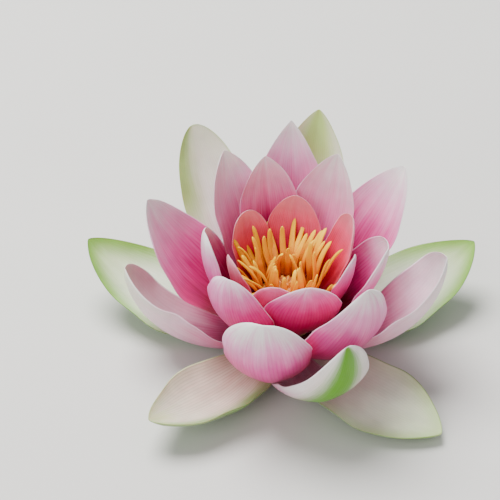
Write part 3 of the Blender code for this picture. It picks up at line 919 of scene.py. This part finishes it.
def build_disc(settings):
    """Stigma disc: its half outline turned about the axis, its top raised by a cosine of the ray count."""
    profile = smooth_profile(DISC_OUTLINE, 56)
    steps = settings.turn_steps
    angle = 2 * pi * np.arange(steps) / steps
    radius, height = profile[1:-1, :1], profile[1:-1, 1:]
    ray = np.cos(settings.rays * angle)[None, :]
    top = np.clip(radius / DISC_RADIUS, 0, 1) * (height > DISC_RIM_HEIGHT)
    lift = settings.ray_height * top * ray
    reach = radius * (1 + 0.03 * ray * top)
    points = np.stack([reach * np.cos(angle), reach * np.sin(angle), height + lift], -1).reshape(-1, 3)
    poles = np.array([[0, 0, profile[0, 1]], [0, 0, profile[-1, 1]]])
    points = np.vstack([points, poles])
    faces = outward(points, tube_faces(len(radius), steps, len(points) - 2, len(points) - 1))
    # The ray value is low in the grooves between the rays and high on their crests; it drives the stigma's
    # painted shade and light.
    values = np.concatenate([(0.5 + 0.5 * top * ray + 0 * ray).ravel(), [0.8, 0.2]])
    mesh_object("stigma_disc_rays", points, faces, {"ray": values},
                make_finish("moist_stigma_tissue_painted_groove_shade", stigma_tissue), "stigma_disc")


def build_receptacle(settings):
    """Receptacle: its half outline turned about the axis, with shallow lengthwise ribs on the stub."""
    profile = smooth_profile(RECEPTACLE_OUTLINE, 90)
    steps = settings.turn_steps
    angle = 2 * pi * np.arange(steps) / steps
    inward = np.array([[2.6, 0.0], [1.2, 0.0]]) * MM
    radius = np.concatenate([profile[1:, 0], inward[:, 0]])[:, None]
    height = np.concatenate([profile[1:, 1], inward[:, 1]])[:, None]
    reach = radius * (1 + 0.006 * np.cos(16 * angle)[None, :] * (height < STUB_TOP))
    points = np.stack([reach * np.cos(angle), reach * np.sin(angle), height + 0 * reach], -1).reshape(-1, 3)
    points = np.vstack([points, [[0, 0, profile[0, 1]], [0, 0, 0]]])
    faces = outward(points, tube_faces(len(radius), steps, len(points) - 2, len(points) - 1))
    level = np.append(np.repeat(height[:, 0], steps), [RECEPTACLE_TOP, 0]) / (23 * MM)
    cut = np.append(np.repeat((height[:, 0] < 0.01 * MM) * 1.0, steps), [0, 1])
    mesh_object("receptacle_flesh", points, faces, {"height": level, "cut": cut},
                make_finish("fleshy_stalk_skin", stalk_flesh), "receptacle")


class FLOWER_OT_stage(bpy.types.Operator):
    """Lay the floor and set the light and the camera"""
    bl_idname = "water_lily.stage"
    bl_label = "Stage"

    def execute(self, context):
        settings = context.scene.lily_stage
        build_floor(settings)
        build_lights(context, settings)
        build_camera(context, settings)
        return {"FINISHED"}


def build_floor(settings):
    """A plain matt floor just under the flower."""
    half = settings.floor_size / 2
    corners = [(-half, -half, 0), (half, -half, 0), (half, half, 0), (-half, half, 0)]
    mesh = bpy.data.meshes.new("floor")
    mesh.from_pydata(corners, [], [(0, 1, 2, 3)])
    mesh.materials.append(make_finish("matt_painted_floor", partial(matt_paint, settings)))
    floor = bpy.data.objects.new("floor", mesh)
    floor.location.z = CAD_LOW.z - 0.2 * MM
    bpy.context.scene.collection.objects.link(floor)


def build_lights(context, settings):
    """An even sky, a large soft lamp overhead and a weaker one from the front left."""
    world = bpy.data.worlds.new("soft_sky")
    world.use_nodes = True
    background = world.node_tree.nodes["Background"]
    background.inputs["Color"].default_value = linear("F4F7FA")
    background.inputs["Strength"].default_value = settings.sky_strength
    context.scene.world = world
    aim = Vector((AXIS[0], AXIS[1], 0.03))
    for name, place, size, power in (
            ("key_lamp", (-0.25, 0.25, 0.9), 0.7, settings.key_power),
            ("fill_lamp", (-0.5, -0.8, 0.6), 0.8, settings.key_power * 0.22)):
        lamp = bpy.data.lights.new(name, "AREA")
        lamp.shape = "DISK"
        lamp.size = size
        lamp.energy = power
        holder = bpy.data.objects.new(name, lamp)
        holder.location = aim + Vector(place)
        holder.rotation_mode = "QUATERNION"
        holder.rotation_quaternion = Vector(place).to_track_quat("Z", "Y")
        context.scene.collection.objects.link(holder)


def build_camera(context, settings):
    """A long-lens camera in front of the flower, looking down on it."""
    camera = bpy.data.cameras.new("camera")
    camera.lens = settings.lens
    camera.sensor_width = 36.0
    holder = bpy.data.objects.new("camera", camera)
    back = Vector((0, -cos(settings.camera_elevation), sin(settings.camera_elevation)))
    target = Vector(AXIS) + Vector((-10.8, 0, 39.2)) * MM
    holder.location = target + back * settings.camera_distance
    holder.rotation_mode = "QUATERNION"
    holder.rotation_quaternion = back.to_track_quat("Z", "Y")
    camera.clip_start = 0.05
    camera.clip_end = 50
    context.scene.collection.objects.link(holder)
    context.scene.camera = holder


class FLOWER_PT_panel(bpy.types.Panel):
    """Settings of the water lily flower"""
    bl_idname = "FLOWER_PT_panel"
    bl_label = "Water lily"
    bl_space_type = "VIEW_3D"
    bl_region_type = "UI"
    bl_category = "Water lily"

    def draw(self, context):
        layout = self.layout
        for operator, group, names in (
                (FLOWER_OT_blades, "lily_blades", ("petal_thickness", "sepal_thickness", "ripple", "crease",
                                                   "rows", "columns")),
                (FLOWER_OT_stamens, "lily_stamens", ("width", "thickness", "rows", "columns", "tip_colour",
                                                     "foot_colour_and_shade")),
                (FLOWER_OT_centre, "lily_centre", ("rays", "ray_height", "turn_steps")),
                (FLOWER_OT_stage, "lily_stage", ("floor_colour", "floor_size", "sky_strength", "key_power",
                                                 "lens", "camera_elevation", "camera_distance"))):
            box = layout.box()
            for name in names:
                box.prop(getattr(context.scene, group), name)
            box.operator(operator.bl_idname)


GROUPS = {
    "lily_blades": BladeSettings,
    "lily_stamens": StamenSettings,
    "lily_centre": CentreSettings,
    "lily_stage": StageSettings,
}
OPERATORS = (FLOWER_OT_blades, FLOWER_OT_stamens, FLOWER_OT_centre, FLOWER_OT_stage)


def register():
    for made in (*GROUPS.values(), *OPERATORS, FLOWER_PT_panel):
        bpy.utils.register_class(made)
    for key, group in GROUPS.items():
        setattr(bpy.types.Scene, key, PointerProperty(type=group))


def unregister():
    for key in GROUPS:
        delattr(bpy.types.Scene, key)
    for made in reversed((*GROUPS.values(), *OPERATORS, FLOWER_PT_panel)):
        bpy.utils.unregister_class(made)


def main():
    register()
    bpy.ops.water_lily.blades()
    bpy.ops.water_lily.stamens()
    bpy.ops.water_lily.centre()
    bpy.ops.water_lily.stage()


if __name__ == "__main__":
    main()
